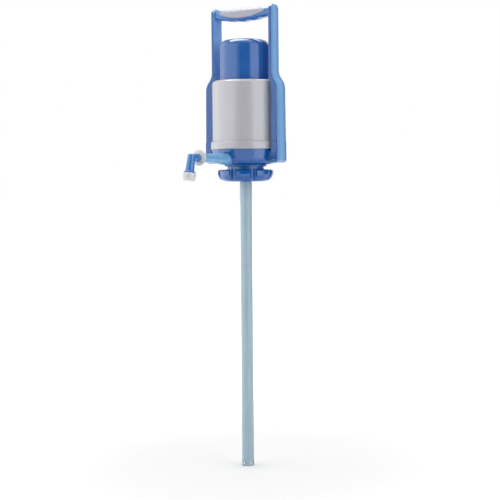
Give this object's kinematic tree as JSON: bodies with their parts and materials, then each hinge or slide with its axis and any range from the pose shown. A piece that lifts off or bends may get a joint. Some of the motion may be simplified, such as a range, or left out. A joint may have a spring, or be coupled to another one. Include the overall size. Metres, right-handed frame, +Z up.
{
  "type": "water jug hand pump",
  "caption": "Hand-pressed bellows pump for a water jug: push cap in a round shell between two handle arms, swivelling spout, lobed neck collar and dip tube.",
  "frame": {"origin": "centre of the neck gasket's underside, on the plane of the jug's rim", "axes": "+Z up along the pump's axis, -Y along the spout, +X and -X through the handle's arms"},
  "size_m": [0.1404, 0.2136, 0.742],
  "materials": {
    "cap_blue_abs": "polished moulding",
    "clear_blue_abs": "polished, faintly clear moulding",
    "handle_blue_abs": "satin moulding",
    "silver_shell": "silver-grey paint on plastic",
    "grip_grey": "soft grey insert",
    "white_plastic": "natural white moulding",
    "silicone_rubber": "moulded silicone",
    "bellows_rubber": "moulded rubber",
    "tube_polypropylene": "extruded, milky clear",
    "spring_steel": "drawn wire",
    "screw_steel": "zinc plated"
  },
  "bodies": {
    "root": {"outer_shell": "silver_shell", "base_housing": "clear_blue_abs", "valve_plate": "white_plastic", "check_valve": "silicone_rubber", "bellows": "bellows_rubber", "bellows_clamp_ring": "white_plastic", "return_spring": "spring_steel", "neck_gasket": "silicone_rubber", "neck_collet": "clear_blue_abs", "dip_tube_upper": "tube_polypropylene", "dip_tube_middle": "tube_polypropylene", "dip_tube_lower": "tube_polypropylene", "spout_pipe": "clear_blue_abs", "pipe_seal": "silicone_rubber", "elbow_seal": "silicone_rubber", "handle_arm_right": "handle_blue_abs", "handle_arm_left": "handle_blue_abs", "handle_screws": "screw_steel", "grip_bar": "handle_blue_abs", "grip_pad": "grip_grey"},
    "cap": {"push_cap": "cap_blue_abs", "bellows_top_plate": "white_plastic", "intake_valve": "silicone_rubber"},
    "collar": {"clamp_collar": "clear_blue_abs"},
    "nut": {"spout_nut": "white_plastic"},
    "elbow": {"spout_elbow": "clear_blue_abs"},
    "end_cap": {"spout_end_cap": "white_plastic"}
  },
  "joints": [
    {"name": "push_stroke", "type": "slide", "parent": "root", "child": "cap", "axis": [0, 0, -1], "range_m": [0, 0.05], "stiffness_N_per_m": 500, "springref_m": -0.02, "deforming": ["bellows", "return_spring"]},
    {"name": "collar_turn", "type": "hinge", "parent": "root", "child": "collar", "pos_m": [0, 0, -0.005], "axis": [0, 0, 1], "range_deg": [-360, 0]},
    {"name": "nut_turn", "type": "hinge", "parent": "root", "child": "nut", "pos_m": [0, -0.12298, 0.02245], "axis": [0, -0.9998, 0.0175], "continuous": true},
    {"name": "elbow_swivel", "type": "hinge", "parent": "root", "child": "elbow", "pos_m": [0, -0.12648, 0.02251], "axis": [0, -0.9998, 0.0175], "range_deg": [-180, 180]},
    {"name": "end_cap_pull", "type": "slide", "parent": "elbow", "child": "end_cap", "axis": [0, -0.1908, -0.9816], "range_m": [0, 0.012]}
  ]
}
